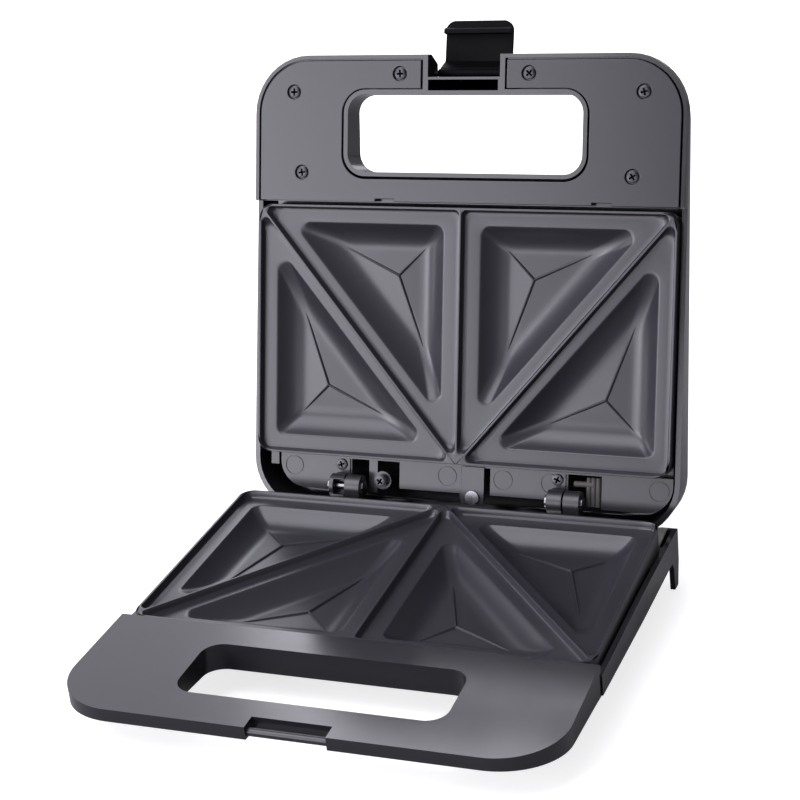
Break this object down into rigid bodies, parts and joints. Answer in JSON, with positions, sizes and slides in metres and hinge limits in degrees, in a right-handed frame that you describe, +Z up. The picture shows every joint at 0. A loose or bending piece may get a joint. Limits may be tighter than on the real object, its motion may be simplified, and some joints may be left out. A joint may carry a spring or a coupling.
{
  "type": "sandwich toaster",
  "caption": "Hinged sandwich toaster standing open: pocketed cooking plates, open-loop handles and a swinging latch.",
  "frame": {"origin": "middle of the bounding box in plan, on the table plane under the feet", "axes": "+X to the cooker's right seen from its handles, +Y from the handles to the hinges, +Z up"},
  "size_m": [0.2302, 0.3013, 0.2713],
  "materials": {
    "charcoal_plastic": "semi-gloss moulded, fine grain",
    "panel_plastic": "satin moulded",
    "black_plastic": "satin moulded",
    "white_plastic": "satin moulded",
    "plate_coating": "satin non-stick coating on cast aluminium",
    "sheet_metal": "rolled sheet",
    "hinge_plastic": "satin moulded, glass filled",
    "steel": "zinc plated",
    "pin_steel": "polished",
    "black_screws": "black oxide",
    "element_sheath": "heat tinted sheath",
    "foot_rubber": "matt",
    "ceramic": "matt ceramic",
    "woven_sleeve": "glass-fibre braid",
    "red_lens": "clear tinted",
    "green_lens": "clear tinted",
    "lamp_glass": "clear"
  },
  "bodies": {
    "base": {"base_shell": "charcoal_plastic", "bottom_cover": "charcoal_plastic", "handle_cover": "charcoal_plastic", "cover_screws": "black_screws", "front_feet": "foot_rubber", "catch_bar": "panel_plastic", "base_frame": "sheet_metal", "frame_screws": "steel", "lower_plate": "plate_coating", "lower_plate_screws": "steel", "lower_element": "element_sheath", "lower_clamps": "sheet_metal", "lower_clamp_screws": "steel", "lower_reflector": "sheet_metal", "thermostat": "ceramic", "thermal_fuse": "steel", "terminal_block": "white_plastic", "cord_gland": "black_plastic", "base_hinge_brackets": "hinge_plastic", "base_bracket_screws": "steel", "hinge_pins": "pin_steel"},
    "lid": {"lid_shell": "charcoal_plastic", "lid_handle_panel": "panel_plastic", "panel_screws": "black_screws", "lid_frame": "panel_plastic", "lid_frame_screws": "steel", "upper_plate": "plate_coating", "upper_plate_screws": "steel", "upper_element": "element_sheath", "upper_clamps": "sheet_metal", "upper_clamp_screws": "steel", "upper_reflector": "sheet_metal", "lid_hinge_knuckles": "hinge_plastic", "lid_hinge_screws": "steel", "latch_pin": "pin_steel", "wiring_sleeve": "woven_sleeve", "cable_tag": "panel_plastic", "tag_rivet": "pin_steel", "power_lens": "red_lens", "ready_lens": "green_lens", "neon_lamps": "lamp_glass"},
    "latch": {"latch": "black_plastic"}
  },
  "joints": [
    {"name": "lid_hinge", "type": "hinge", "parent": "base", "child": "lid", "pos_m": [0, 0.0718, 0.04152], "axis": [1, 0, 0], "range_deg": [0, 107.9]},
    {"name": "latch_hinge", "type": "hinge", "parent": "lid", "child": "latch", "pos_m": [0, 0.1328, 0.24681], "axis": [1, 0, 0], "range_deg": [0, 95]}
  ]
}
